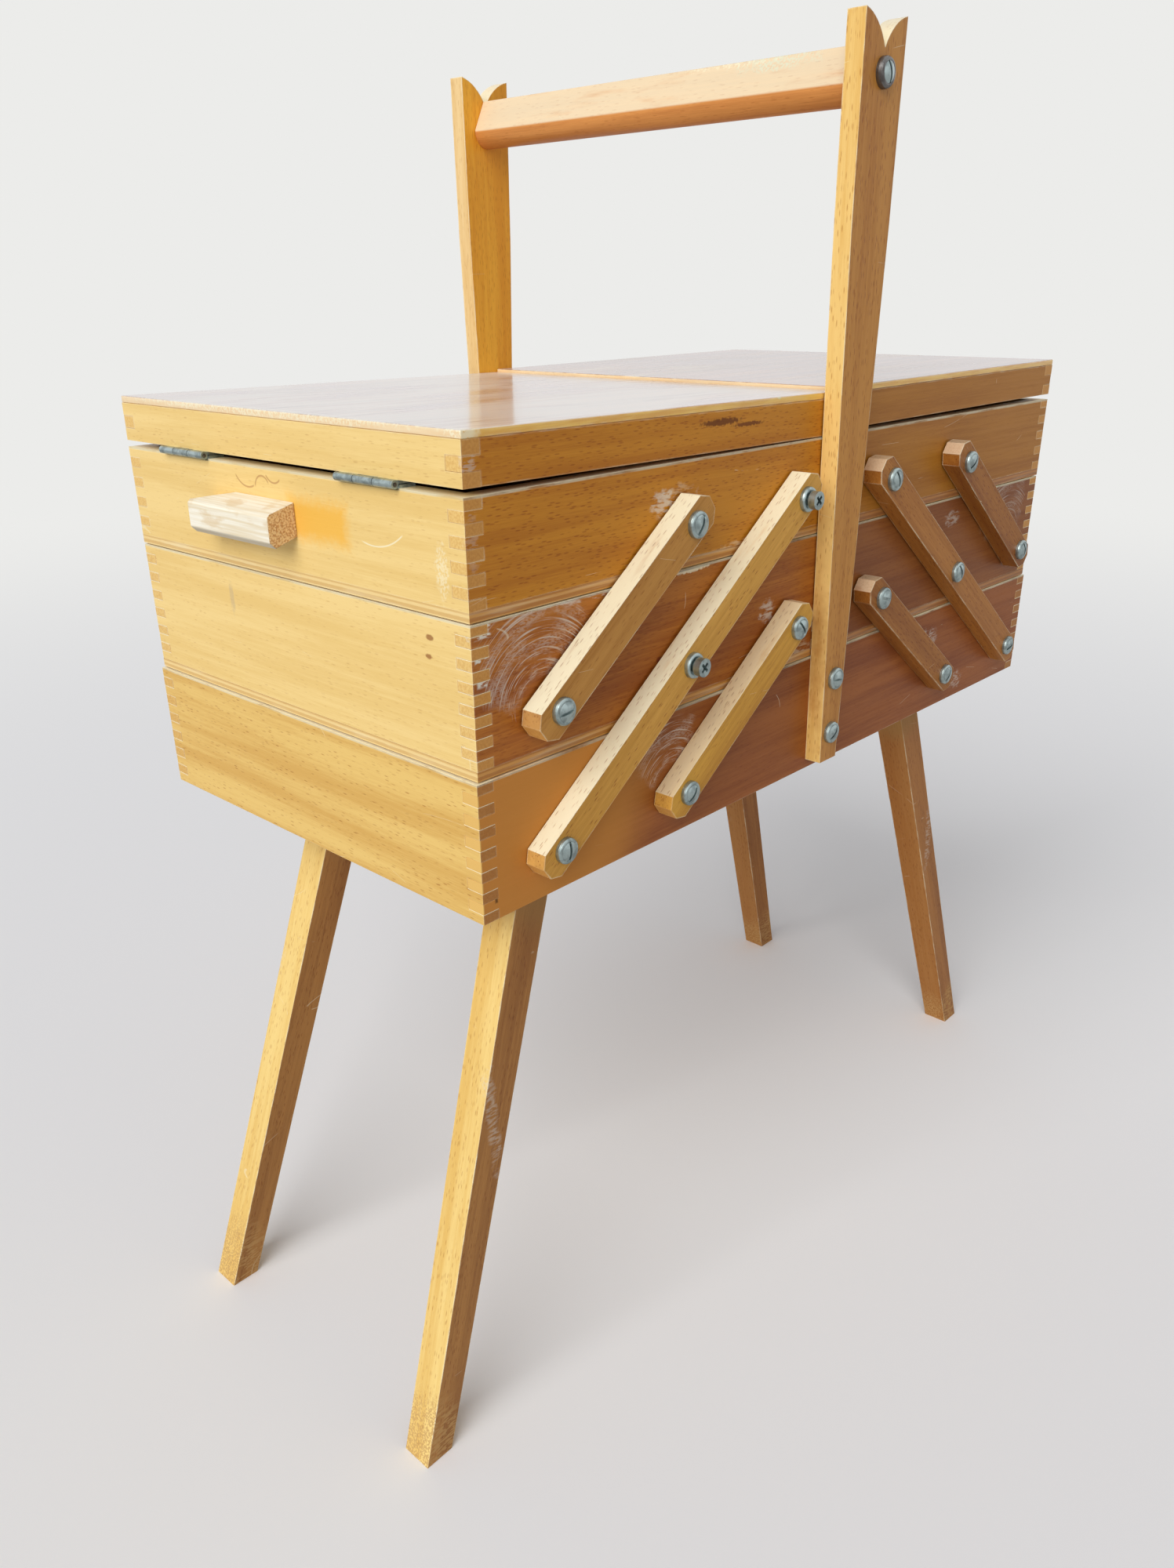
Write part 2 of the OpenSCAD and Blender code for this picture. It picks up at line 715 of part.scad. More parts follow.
module lid_ends(side) {
    color(beech_light) tilted(side) {
        difference() {
            end_board(tray_x1 - wall_t, tray_d, lid_z, lid_rim_h);
            hinge_screw_places() translate([0, 0, lid_z - eps])
                cylinder(h = hinge_screw_len + eps, r = hinge_screw_r + pilot_play, $fn = round_fn);
        }
        end_board(tray_x0, tray_d, lid_z, lid_rim_h);
    }
}

module lid_panel(side) {
    color(veneer_red) tilted(side)
        translate([tray_x0, -tray_d / 2, lid_z + lid_rim_h]) cube([tray_len, tray_d, panel_t]);
}

module lid_hinge_leaves(side) {
    color(zinc) tilted(side) {
        difference() {
            for (face = [FRONT, BACK]) translate([0, face * hinge_y, 0]) hinge_leaf(lid_z - leaf_t, [0, 2]);
            hinge_screw_places() translate([0, 0, lid_z - leaf_t]) mirror([0, 0, 1])
                countersunk_hole(hinge_screw_r, hinge_head_r, leaf_t + eps);
        }
        hinge_screw_places() translate([0, 0, lid_z - leaf_t]) mirror([0, 0, 1])
            countersunk_screw(hinge_screw_r, hinge_head_r, hinge_screw_len);
    }
}

base_side(FRONT);  // base_front
base_side(BACK);  // base_back
base_end(LEFT);  // base_left_end
base_end(RIGHT);  // base_right_end
base_bottom();
leg(LEFT, FRONT);  // front_left_leg
leg(LEFT, BACK);  // back_left_leg
leg(RIGHT, FRONT);  // front_right_leg
leg(RIGHT, BACK);  // back_right_leg
leg_screws();
upright(FRONT);  // front_upright
upright(BACK);  // back_upright
handle_bar();
base_screws();
base_washers();
handle_washers();
long_arms(LEFT);  // left_long_arms
lower_arms(LEFT);  // left_lower_arms
upper_arms(LEFT);  // left_upper_arms
mid_sides(LEFT);  // left_mid_sides
mid_outer_end(LEFT);  // left_mid_outer_end
tray_inner_end(LEFT, mid_z, mid_h);  // left_mid_inner_end
tray_bottom(LEFT, mid_z);  // left_mid_bottom
mid_screws(LEFT);  // left_mid_screws
mid_washers(LEFT);  // left_mid_washers
top_sides(LEFT);  // left_top_sides
top_outer_end(LEFT);  // left_top_outer_end
tray_inner_end(LEFT, top_z, top_h);  // left_top_inner_end
tray_bottom(LEFT, top_z);  // left_top_bottom
top_screws(LEFT);  // left_top_screws
top_washers(LEFT);  // left_top_washers
left_pull();
tray_hinge_leaves(LEFT);  // left_tray_hinge_leaves
hinge_pins(LEFT);  // left_hinge_pins
lid_sides(LEFT);  // left_lid_sides
lid_ends(LEFT);  // left_lid_ends
lid_panel(LEFT);  // left_lid_panel
lid_hinge_leaves(LEFT);  // left_lid_hinge_leaves
long_arms(RIGHT);  // right_long_arms
lower_arms(RIGHT);  // right_lower_arms
upper_arms(RIGHT);  // right_upper_arms
mid_sides(RIGHT);  // right_mid_sides
mid_outer_end(RIGHT);  // right_mid_outer_end
tray_inner_end(RIGHT, mid_z, mid_h);  // right_mid_inner_end
tray_bottom(RIGHT, mid_z);  // right_mid_bottom
mid_screws(RIGHT);  // right_mid_screws
mid_washers(RIGHT);  // right_mid_washers
top_sides(RIGHT);  // right_top_sides
top_outer_end(RIGHT);  // right_top_outer_end
tray_inner_end(RIGHT, top_z, top_h);  // right_top_inner_end
tray_bottom(RIGHT, top_z);  // right_top_bottom
top_screws(RIGHT);  // right_top_screws
top_washers(RIGHT);  // right_top_washers
right_pull();
tray_hinge_leaves(RIGHT);  // right_tray_hinge_leaves
hinge_pins(RIGHT);  // right_hinge_pins
lid_sides(RIGHT);  // right_lid_sides
lid_ends(RIGHT);  // right_lid_ends
lid_panel(RIGHT);  // right_lid_panel
lid_hinge_leaves(RIGHT);  // right_lid_hinge_leaves
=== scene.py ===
import math

import bmesh
import bpy
from mathutils import Matrix, Vector

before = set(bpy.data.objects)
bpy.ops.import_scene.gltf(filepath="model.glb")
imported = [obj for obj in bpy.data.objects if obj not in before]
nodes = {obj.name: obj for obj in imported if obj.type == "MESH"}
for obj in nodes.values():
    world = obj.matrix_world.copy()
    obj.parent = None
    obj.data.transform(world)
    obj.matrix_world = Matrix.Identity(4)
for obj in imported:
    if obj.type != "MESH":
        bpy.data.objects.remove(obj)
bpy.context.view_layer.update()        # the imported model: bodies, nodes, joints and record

MM = 0.001
SIDES = (("left", -1), ("right", 1))
ALONG, ACROSS, UP, DOWN = (1, 0, 0), (0, 1, 0), (0, 0, 1), (0, 0, -1)


def srgb(red, green, blue):
    """A colour written as it shows on screen, 0 to 255, as the linear colour that the shader takes."""
    def linear(level):
        level /= 255
        return level / 12.92 if level < 0.04045 else ((level + 0.055) / 1.055) ** 2.4
    return linear(red), linear(green), linear(blue), 1.0


WHITE = srgb(255, 255, 255)
# Pale of rubbed wear, also used as a painted highlight on upward faces and rims.
WORN_AND_HIGHLIGHT = srgb(252, 244, 210)
CHALK = srgb(228, 220, 206)
PALE_CHIP = srgb(224, 220, 178)
SCRAPED = srgb(226, 220, 204)
DARK_STAIN = srgb(70, 44, 26)
PALE = srgb(236, 236, 234)

# Sizes of the wood's figure in mm, along the grain and across it.
BANDS = (210, 13, 13)
STREAKS = (64, 1.5, 1.5)
FIBRES = (11, 0.4, 0.4)
FLECKS = (4.6, 0.9, 0.9)
PORES = (40, 0.9, 0.9)

# Places and directions on the closed carrier, in mm.
LEFT_X = -219
FRONT_Y, BASE_FRONT_Y = -108.5, -109.1
BASE_RIM, MID_RIM, TOP_RIM = 336.6, 393.7, 435.3
MID_PLY, TOP_PLY, BASE_PLY = 337.2, 394.3, 285
MID_SCREW, BASE_SCREW = 357.9, 302.5
ARM_SLOPE = math.radians(36.45)
RISING = (math.cos(ARM_SLOPE), 0, math.sin(ARM_SLOPE))
FALLING = (math.cos(ARM_SLOPE), 0, -math.sin(ARM_SLOPE))
LEG_SPREAD, LEG_LEAN, LEG_HEIGHT = 96, 18, 280
FOOT_X, FOOT_Y = 248, 82

MIX_A, MIX_B, MIX_RESULT = 6, 7, 2


class Graph:
    """One material's nodes. A value given to a node is a number, a colour or another node's socket."""

    def __init__(self, name):
        self.material = bpy.data.materials.new(name)
        self.material.use_nodes = True
        self.tree = self.material.node_tree
        self.tree.nodes.clear()

    def feed(self, socket, value):
        if isinstance(value, bpy.types.NodeSocket):
            self.tree.links.new(value, socket)
        else:
            socket.default_value = value

    def node(self, kind, inputs, **settings):
        made = self.tree.nodes.new(kind)
        for key, value in settings.items():
            setattr(made, key, value)
        for key, value in inputs.items():
            self.feed(made.inputs[key], value)
        return made

    def calc(self, operation, *values):
        """A Math node's result."""
        inputs = dict(enumerate(values))
        return self.node("ShaderNodeMath", inputs, operation=operation).outputs[0]

    def product(self, first, *others):
        for other in others:
            first = self.calc("MULTIPLY", first, other)
        return first

    def scaled(self, value, factor, offset):
        """The value times the factor, plus the offset."""
        return self.calc("MULTIPLY_ADD", value, factor, offset)

    def vector(self, operation, *vectors):
        """A Vector Math node's vector result."""
        inputs = dict(enumerate(vectors))
        return self.node("ShaderNodeVectorMath", inputs, operation=operation).outputs[0]

    def axes(self, vector):
        """A vector's three parts."""
        return self.node("ShaderNodeSeparateXYZ", {0: vector}).outputs

    def dot(self, first, second):
        made = self.node("ShaderNodeVectorMath", {0: first, 1: second}, operation="DOT_PRODUCT")
        return made.outputs[1]

    def length(self, vector):
        return self.node("ShaderNodeVectorMath", {0: vector}, operation="LENGTH").outputs[1]

    def reach(self, spot, centre, radii):
        """0 at the centre of an ellipsoid, 1 on its surface, and more outside."""
        from_centre = self.vector("SUBTRACT", spot, centre)
        return self.length(self.vector("DIVIDE", from_centre, radii))

    def fade(self, value, low, high):
        """0 below low, 1 above high, smooth between; falls the other way where low is above high."""
        inputs = {0: value, 1: low, 2: high}
        if low > high:
            inputs = {0: value, 1: high, 2: low, 3: 1.0, 4: 0.0}
        return self.node("ShaderNodeMapRange", inputs, interpolation_type="SMOOTHSTEP").outputs[0]

    def mix(self, share, first, second, blend="MIX"):
        inputs = {0: share, MIX_A: first, MIX_B: second}
        made = self.node("ShaderNodeMix", inputs, data_type="RGBA", blend_type=blend)
        return made.outputs[MIX_RESULT]

    def tinted(self, colour, tint):
        return self.mix(1.0, colour, tint, "MULTIPLY")

    def noise(self, vector, sizes, detail=2.0, bend=0.0):
        """Noise with features of these sizes in mm along the three axes."""
        scaled = self.vector("DIVIDE", vector, sizes)
        inputs = {"Vector": scaled, "Scale": 1.0, "Detail": detail, "Distortion": bend}
        return self.node("ShaderNodeTexNoise", inputs).outputs[0]

    def cells(self, vector, sizes):
        """A Voronoi node with cells of these sizes in mm along the three axes."""
        scaled = self.vector("DIVIDE", vector, sizes)
        return self.node("ShaderNodeTexVoronoi", {"Vector": scaled, "Scale": 1.0})

    def spot(self):
        """The place on the part in mm, in the row frame, whatever the pose."""
        coordinates = self.node("ShaderNodeTexCoord", {}).outputs["Object"]
        return self.node("ShaderNodeMapping", {"Vector": coordinates, "Scale": (1 / MM,) * 3}).outputs[0]

    def facing(self, direction):
        """1 where the surface looks in this direction of the row frame, -1 where it looks away from it."""
        normal = self.node("ShaderNodeTexCoord", {}).outputs["Normal"]
        return self.dot(normal, direction)

    def looks(self, direction, low, high):
        """Where the surface looks in this direction, faded between two values of facing."""
        return self.fade(self.facing(direction), low, high)

    def lies_across(self, axis, low, high):
        """Where the surface looks along this axis, either way, faded between two values of facing."""
        return self.fade(self.calc("ABSOLUTE", self.facing(axis)), low, high)

    def edges(self, radius, least, most):
        """1 on the edges of the solid, 0 on its faces."""
        rounded = self.node("ShaderNodeBevel", {"Radius": radius * MM}, samples=4).outputs[0]
        plain = self.node("ShaderNodeNewGeometry", {}).outputs["Normal"]
        return self.fade(self.dot(rounded, plain), 1 - least, 1 - most)

    def surface(self, colour, roughness, height, depth, lean=None, **constants):
        """The shader: colour, roughness and the normal's lean may vary; the rest is the same all over."""
        bump = self.node("ShaderNodeBump", {"Strength": 1.0, "Distance": depth * MM, "Height": height})
        if lean:
            plain = self.node("ShaderNodeNewGeometry", {}).outputs["Normal"]
            leaned = self.vector("NORMALIZE", self.vector("ADD", plain, lean))
            self.feed(bump.inputs["Normal"], leaned)
        inputs = {"Base Color": colour, "Roughness": roughness, "Normal": bump.outputs[0]}
        inputs.update({key.replace("_", " "): value for key, value in constants.items()})
        shader = self.node("ShaderNodeBsdfPrincipled", inputs)
        self.node("ShaderNodeOutputMaterial", {"Surface": shader.outputs[0]})
        return self.material


# Marks of use. Each gives a function of a graph and the spot that returns the mark's share and tint.

def speckled(graph, spot, share, sizes, grit):
    """The share, broken into grains of these sizes in mm where grit is above 0."""
    if grit <= 0:
        return share
    spread = grit * 0.1
    grain = graph.noise(spot, sizes, 4.0)
    return graph.product(share, graph.fade(grain, 0.5 - spread, 0.5 + spread))


def patch(centre, radii, tint, amount=0.8, ragged=0.5, grit=0.0):
    """A worn or stained patch: an ellipsoid in mm with a ragged edge, speckled where grit is above 0."""
    lump = max(min(radii), 1.0)

    def paint(graph, spot):
        rough_edge = graph.noise(spot, (lump, lump, lump), 3.0)
        reach = graph.scaled(rough_edge, ragged * 2, graph.reach(spot, centre, radii))
        share = graph.fade(reach, 1.0 + ragged, 0.55 + ragged)
        share = speckled(graph, spot, share, (4.0, 1.0, 1.0), grit)
        return graph.product(share, amount), tint
    return paint


def block(low, high, tint, amount=0.8, soft=0.4, grit=0.0):
    """A stained or scraped block between two corners in mm, speckled where grit is above 0."""
    half = (Vector(high) - Vector(low)) / 2
    centre = (Vector(high) + Vector(low)) / 2

    def paint(graph, spot):
        from_centre = graph.vector("ABSOLUTE", graph.vector("SUBTRACT", spot, centre))
        inside = graph.axes(graph.vector("SUBTRACT", half, from_centre))
        least = graph.calc("MINIMUM", graph.calc("MINIMUM", inside[0], inside[1]), inside[2])
        uneven = graph.scaled(graph.noise(spot, (2, 2, 2), 3.0), soft, least)
        share = graph.fade(uneven, 0, soft * 1.6)
        share = speckled(graph, spot, share, (3.0, 1.2, 1.2), grit)
        return graph.product(share, amount), tint
    return paint


def ring(centre, radius, width, within, radii, tint, amount=0.7):
    """A thin curved line: part of a ring in mm on a face, within an ellipsoid."""
    def paint(graph, spot):
        from_centre = graph.length(graph.vector("SUBTRACT", spot, centre))
        off = graph.calc("ABSOLUTE", graph.calc("SUBTRACT", from_centre, radius))
        line = graph.fade(off, width, width * 0.3)
        inside = graph.fade(graph.reach(spot, within, radii), 1, 0.8)
        return graph.product(line, inside, amount), tint
    return paint


def arcs(pivot, inner, outer, centre, radii, amount=0.8):
    """Scratches that an arm has drawn round its screw, between two radii in mm, within an ellipsoid."""
    angle_size = 14.0

    def paint(graph, spot):
        from_pivot = graph.axes(graph.vector("SUBTRACT", spot, pivot))
        along, up = from_pivot[0], from_pivot[2]
        radius = graph.length(graph.node("ShaderNodeCombineXYZ", {0: along, 2: up}).outputs[0])
        turn = graph.product(graph.calc("ARCTAN2", up, along), angle_size)
        polar = graph.node("ShaderNodeCombineXYZ", {0: radius, 1: turn}).outputs[0]
        lines = graph.fade(graph.noise(polar, (0.7, 11.0, 1.0), 5.0), 0.52, 0.66)
        haze = graph.fade(graph.noise(polar, (7.0, 9.0, 1.0), 5.0), 0.42, 0.58)
        grain = graph.fade(graph.noise(spot, (1.6, 0.6, 0.6), 4.0), 0.35, 0.6)
        scratched = graph.calc("MAXIMUM", graph.product(lines, 0.75), graph.product(haze, grain, 0.35))
        swept = graph.product(graph.fade(radius, inner, inner + 3), graph.fade(radius, outer, outer - 5))
        uneven = graph.scaled(graph.noise(spot, (9, 9, 9), 4.0), 0.8, graph.reach(spot, centre, radii))
        within = graph.fade(uneven, 1.35, 1.05)
        return graph.product(swept, within, scratched, amount), CHALK
    return paint


def paint_marks(graph, spot, marks, colour):
    """The colour with the marks on it, and the marks' shares."""
    shares = []
    for mark in marks:
        share, tint = mark(graph, spot)
        colour = graph.mix(share, colour, tint)
        shares.append(share)
    return colour, shares


# Varnished beech, in the order in which its layers lie on each other.

def turn_to_x(direction):
    """The rotation that lays this direction along x."""
    return Vector(direction).rotation_difference(Vector(ALONG)).to_euler()


def figure(graph, lie):
    """How dark the wood is from place to place, and its streaks and fibres by themselves."""
    bands = graph.noise(lie, BANDS, 2.0, 0.3)
    streaks = graph.noise(lie, STREAKS, 3.0)
    fibres = graph.noise(lie, FIBRES, 2.0)
    tone = graph.scaled(streaks, 0.35, graph.product(bands, 0.85))
    return graph.scaled(fibres, 0.3, tone), streaks, fibres


def with_cheeks(graph, light, dark, cheeks):
    """Both tones, changed on the faces that look along the box, where the cheek tone paints the light and
    shade on those faces.
    """
    sideways = graph.lies_across(ALONG, 0.55, 0.8)
    dark_cheeks = graph.tinted(cheeks, srgb(240, 226, 200))
    return graph.mix(sideways, light, cheeks), graph.mix(sideways, dark, dark_cheeks)


def beech_flecks(graph, lie, amount):
    """The amount in beech's short dark flecks, 0 between them."""
    cells = graph.cells(lie, FLECKS)
    present = graph.fade(cells.outputs["Color"], 0.3, 0.7)
    return graph.product(graph.fade(cells.outputs["Distance"], 0.4, 0.15), present, amount)


def end_grain(graph, lie, axis, colour, tone):
    """The colour with porous end grain on the faces that look along the grain."""
    pores = graph.fade(graph.noise(lie, PORES, 3.0), 0.35, 0.65)
    porous = graph.tinted(tone, graph.mix(pores, WHITE, srgb(242, 232, 220)))
    share = graph.product(graph.lies_across(axis, 0.75, 0.95), 0.9)
    return graph.mix(share, colour, porous)


def crown_wear_and_highlight(graph, lie, flecks, colour, crown):
    """The colour, pale between the flecks on the faces that look up: rubbed wear and a painted highlight of
    the light from above.
    """
    pale_here = graph.fade(graph.noise(lie, (30, 5, 5), 3.0), 0.0, 0.45)
    between_flecks = graph.scaled(flecks, -0.5, 1.0)
    share = graph.product(graph.looks(UP, 0.1, 0.4), pale_here, crown, between_flecks)
    return graph.mix(share, colour, WORN_AND_HIGHLIGHT)


def worn_edges(graph, spot, colour, wear):
    """The colour, rubbed pale in places along the edges."""
    rubbed = graph.fade(graph.noise(spot, (11, 11, 11), 4.0), 0.42, 0.62)
    share = graph.product(graph.edges(0.9, 0.015, 0.1), graph.scaled(rubbed, 0.7, 0.3), wear)
    return graph.mix(share, colour, WORN_AND_HIGHLIGHT)


def hair_scratches(graph, spot, shift, colour):
    """The colour with a few long, faint, almost straight scratches."""
    bent = graph.noise(graph.vector("ADD", spot, shift), (150, 90, 40), 0.0)
    off = graph.calc("ABSOLUTE", graph.calc("SUBTRACT", bent, 0.5))
    hair = graph.fade(off, 0.0016, 0.0005)
    some = graph.fade(graph.noise(spot, (15, 15, 15), 2.0), 0.58, 0.63)
    return graph.mix(graph.product(hair, some, 0.35), colour, WORN_AND_HIGHLIGHT)


def rim_wear_and_highlight(graph, spot, colour, rim):
    """The colour, pale at an upper edge of this height in mm, rubbed wear and a painted highlight of a
    rounded edge, and how the surface there leans up.
    """
    height = graph.axes(spot)[2]
    rounded = graph.fade(height, rim - 1.1, rim - 0.5)
    rubbed = graph.fade(graph.noise(spot, (16, 16, 16), 4.0), 0.3, 0.55)
    # Painted highlight along the rounded rim, with rubbed wear in places.
    share = graph.product(rounded, graph.scaled(rubbed, 0.5, 0.15))
    amount = graph.product(rounded, 1.5)
    lean = graph.node("ShaderNodeVectorMath", {0: UP, "Scale": amount}, operation="SCALE").outputs[0]
    return graph.mix(share, colour, WORN_AND_HIGHLIGHT), lean


def wood(name, light, dark, grain, seed, *, flecks=0.6, wear=0.6, crown=0.0, end=None, cheeks=None,
         rim=None, marks=()):
    """Varnished beech: light and dark tones, its grain along a direction, worn edges, and marks of use.

    crown is how far the faces that look up are worn pale and given a painted highlight, end is the end
    grain's tone, cheeks are the tone of the faces that look along the box, painted light and shade on them,
    and rim is the height in mm of an upper edge rubbed pale and given a painted highlight."""
    graph = Graph(name)
    spot = graph.spot()
    turn = turn_to_x(grain)
    shift = (seed * 71.3, seed * 37.9, seed * 53.7)
    placed = {"Vector": spot, "Rotation": turn, "Location": shift}
    lie = graph.node("ShaderNodeMapping", placed).outputs[0]
    tone, streaks, fibres = figure(graph, lie)
    if cheeks:
        light, dark = with_cheeks(graph, light, dark, cheeks)
    colour = graph.mix(graph.fade(tone, 0.58, 0.94), light, dark)
    dashes = beech_flecks(graph, lie, flecks)
    colour = graph.mix(dashes, colour, graph.tinted(colour, srgb(196, 160, 128)))
    axis = turn.to_matrix().inverted() @ Vector(ALONG)
    colour = end_grain(graph, lie, axis, colour, end or dark)
    # Faces that look up: rubbed pale and given a painted highlight.
    if crown > 0:
        colour = crown_wear_and_highlight(graph, lie, dashes, colour, crown)
    colour = worn_edges(graph, spot, colour, wear)
    colour = hair_scratches(graph, spot, shift, colour)
    colour, shares = paint_marks(graph, spot, marks, colour)
    roughness = graph.scaled(streaks, 0.16, 0.34)
    for share in shares:
        roughness = graph.scaled(share, 0.25, roughness)
    lean = None
    if rim:
        colour, lean = rim_wear_and_highlight(graph, spot, colour, rim)
    height = graph.calc("SUBTRACT", graph.scaled(fibres, 0.3, streaks), dashes)
    return graph.surface(
        colour, roughness, height, 0.05, lean,
        Specular_IOR_Level=0.2, Coat_Weight=0.03, Coat_Roughness=0.25)


# The other materials.

def plywood(name, face, end_tones, side_tones, layers_from, layer, seed):
    """Thin plywood: a plain face, and varnished edges of faint layers, on the ends and along the sides."""
    graph = Graph(name)
    spot = graph.spot()
    lie = graph.vector("ADD", spot, (seed * 40, seed * 90, 0))
    grain = graph.fade(graph.noise(lie, (60, 2.2, 6), 3.0), 0.35, 0.7)
    colour = graph.mix(grain, face, graph.tinted(face, srgb(226, 205, 172)))
    above = graph.calc("SUBTRACT", graph.axes(spot)[2], layers_from)
    middle = graph.calc("PINGPONG", graph.calc("DIVIDE", above, layer), 1.0)
    fibres = graph.noise(lie, (3, 3, 0.5), 3.0)
    band = graph.fade(graph.scaled(fibres, 0.3, middle), 0.45, 0.75)
    sides = graph.lies_across(ACROSS, 0.6, 0.9)
    rim = graph.mix(sides, graph.mix(band, *end_tones), graph.mix(band, *side_tones))
    colour = graph.mix(graph.lies_across(UP, 0.5, 0.9), rim, colour)
    scuffs = graph.fade(graph.noise(spot, (44, 32, 2), 4.0), 0.5, 0.75)
    colour = graph.mix(graph.product(scuffs, 0.25), colour, WORN_AND_HIGHLIGHT)
    return graph.surface(colour, 0.5, fibres, 0.04, Coat_Weight=0.1, Coat_Roughness=0.3)


def panel_rim(graph, lie):
    """The colour of a lid panel's edges: yellow in front and behind, paler at the ends."""
    grain = graph.noise(lie, (20, 20, 1.2), 3.0)
    sides = graph.mix(graph.fade(grain, 0.35, 0.65), srgb(246, 198, 88), srgb(230, 170, 62))
    ends = graph.mix(grain, srgb(250, 228, 186), srgb(238, 200, 144))
    return graph.mix(graph.lies_across(ALONG, 0.6, 0.9), sides, ends)


def veneer(name, seed, haze_and_reflection_share, polish, marks=()):
    """A lid's panel: red-brown veneer under hazy, worn varnish whose pale haze is also a painted
    reflection, with a yellow edge rubbed pale.

    clouded is how much of it is hazy and painted with a pale reflection, about 0.1 to 0.5, and polish is
    how much of its gloss is left."""
    graph = Graph(name)
    spot = graph.spot()
    lie = graph.vector("ADD", spot, (seed * 131, seed * 77, 0))
    broad = graph.noise(lie, (150, 9, 9), 4.0, 0.2)
    streaks = graph.noise(lie, (48, 1.0, 3), 3.0)
    tone = graph.fade(graph.scaled(streaks, 0.5, broad), 0.5, 1.0)
    colour = graph.mix(tone, srgb(186, 126, 84), srgb(132, 78, 50))
    haze = graph.noise(lie, (90, 36, 9), 6.0, 0.6)
    fine_haze = graph.noise(lie, (60, 4, 3), 4.0)
    haze_and_reflection = graph.fade(graph.scaled(fine_haze, 0.45, haze), 0.82 - haze_and_reflection_share, 1.1 - haze_and_reflection_share)
    # Painted reflection: a pale veil over the veneer, partly real haze of the varnish.
    colour = graph.mix(graph.scaled(haze_and_reflection, 0.6, 0.1), colour, srgb(252, 246, 232))
    colour = graph.mix(graph.looks(UP, 0.3, 0.8), panel_rim(graph, lie), colour)
    underside = graph.mix(tone, srgb(228, 182, 118), srgb(206, 154, 90))
    colour = graph.mix(graph.looks(DOWN, 0.5, 0.9), colour, underside)
    rubbed = graph.fade(graph.noise(spot, (9, 9, 9), 4.0), 0.4, 0.6)
    edge = graph.product(graph.edges(1.2, 0.015, 0.1), rubbed, 0.55)
    colour = graph.mix(edge, colour, WORN_AND_HIGHLIGHT)
    colour, _ = paint_marks(graph, spot, marks, colour)
    roughness = graph.scaled(haze_and_reflection, 0.25, 0.22)
    return graph.surface(
        colour, roughness, streaks, 0.03,
        Coat_Weight=polish, Coat_Roughness=0.15, Sheen_Weight=0.4, Sheen_Roughness=0.35,
        Sheen_Tint=srgb(250, 246, 240))


def bare_wood(name, seed):
    """The pull's wood, its varnish worn off: pale, with painted shade that greys the faces looking down,
    and rough brown end grain.
    """
    graph = Graph(name)
    spot = graph.spot()
    lie = graph.vector("ADD", spot, (seed * 20, seed * 55, seed * 35))
    streaks = graph.noise(lie, (1.4, 40, 1.4), 4.0)
    colour = graph.mix(graph.fade(streaks, 0.35, 0.7), srgb(254, 248, 230), srgb(236, 220, 186))
    stains = graph.fade(graph.noise(lie, (9, 16, 6), 4.0), 0.52, 0.66)
    colour = graph.mix(graph.product(stains, 0.5), colour, srgb(222, 190, 136))
    # Painted shade: the faces that look down are greyed.
    painted_shade_below = graph.product(graph.looks(UP, 0.2, -0.8), 0.7)
    colour = graph.mix(painted_shade_below, colour, srgb(182, 174, 158))
    end = graph.lies_across(ACROSS, 0.7, 0.9)
    specks = graph.noise(spot, (0.8, 0.8, 0.8), 4.0)
    broken = graph.mix(graph.fade(specks, 0.4, 0.62), srgb(236, 204, 152), srgb(196, 148, 96))
    colour = graph.mix(end, colour, broken)
    rough_end = graph.scaled(graph.product(end, specks), 6.0, streaks)
    return graph.surface(colour, 0.6, rough_end, 0.08, Coat_Weight=0.0)


def steel(name, bright, dull, seed, tarnish=0.5):
    """Old plated steel: brushed, tarnished in patches, darker in narrow nooks."""
    graph = Graph(name)
    lie = graph.vector("ADD", graph.spot(), (seed * 9, seed * 14, seed * 6))
    clouds = graph.noise(lie, (3.2, 3.2, 3.2), 5.0)
    colour = graph.mix(graph.product(graph.fade(clouds, 0.42, 0.64), tarnish), bright, dull)
    # Darker in narrow nooks, from an occlusion node.
    nook = graph.node("ShaderNodeAmbientOcclusion", {"Distance": 0.9 * MM}, samples=4, only_local=True)
    darker_in_nooks = graph.product(graph.fade(nook.outputs["AO"], 0.7, 0.3), 0.85)
    colour = graph.mix(darker_in_nooks, colour, srgb(48, 44, 42))
    scratches = graph.noise(lie, (0.3, 4, 0.3), 3.0)
    roughness = graph.scaled(clouds, 0.3, 0.2)
    return graph.surface(colour, roughness, scratches, 0.02, Metallic=0.9)


def dress(names, material):
    """Gives every slot of these nodes the material."""
    for name in names:
        slots = nodes[name].data.materials
        if not slots:
            slots.append(material)
        for index in range(len(slots)):
            slots[index] = material


def soften(names, width, segments=2):
    """Breaks the sharp edges of these nodes, as sanding does."""
    for name in names:
        modifiers = nodes[name].modifiers
        weld = modifiers.new("weld", "WELD")
        weld.merge_threshold = 0.002 * MM
        merge = modifiers.new("whole_faces", "DECIMATE")
        merge.decimate_type = "DISSOLVE"
        merge.angle_limit = math.radians(0.5)
        bevel = modifiers.new("soft_edges", "BEVEL")
        bevel.width = width * MM
        bevel.segments = segments
        bevel.limit_method = "ANGLE"
        bevel.angle_limit = math.radians(40)
        bevel.use_clamp_overlap = True
        flat = modifiers.new("flat_faces", "WEIGHTED_NORMAL")
        flat.mode = "FACE_AREA"
        flat.weight = 100


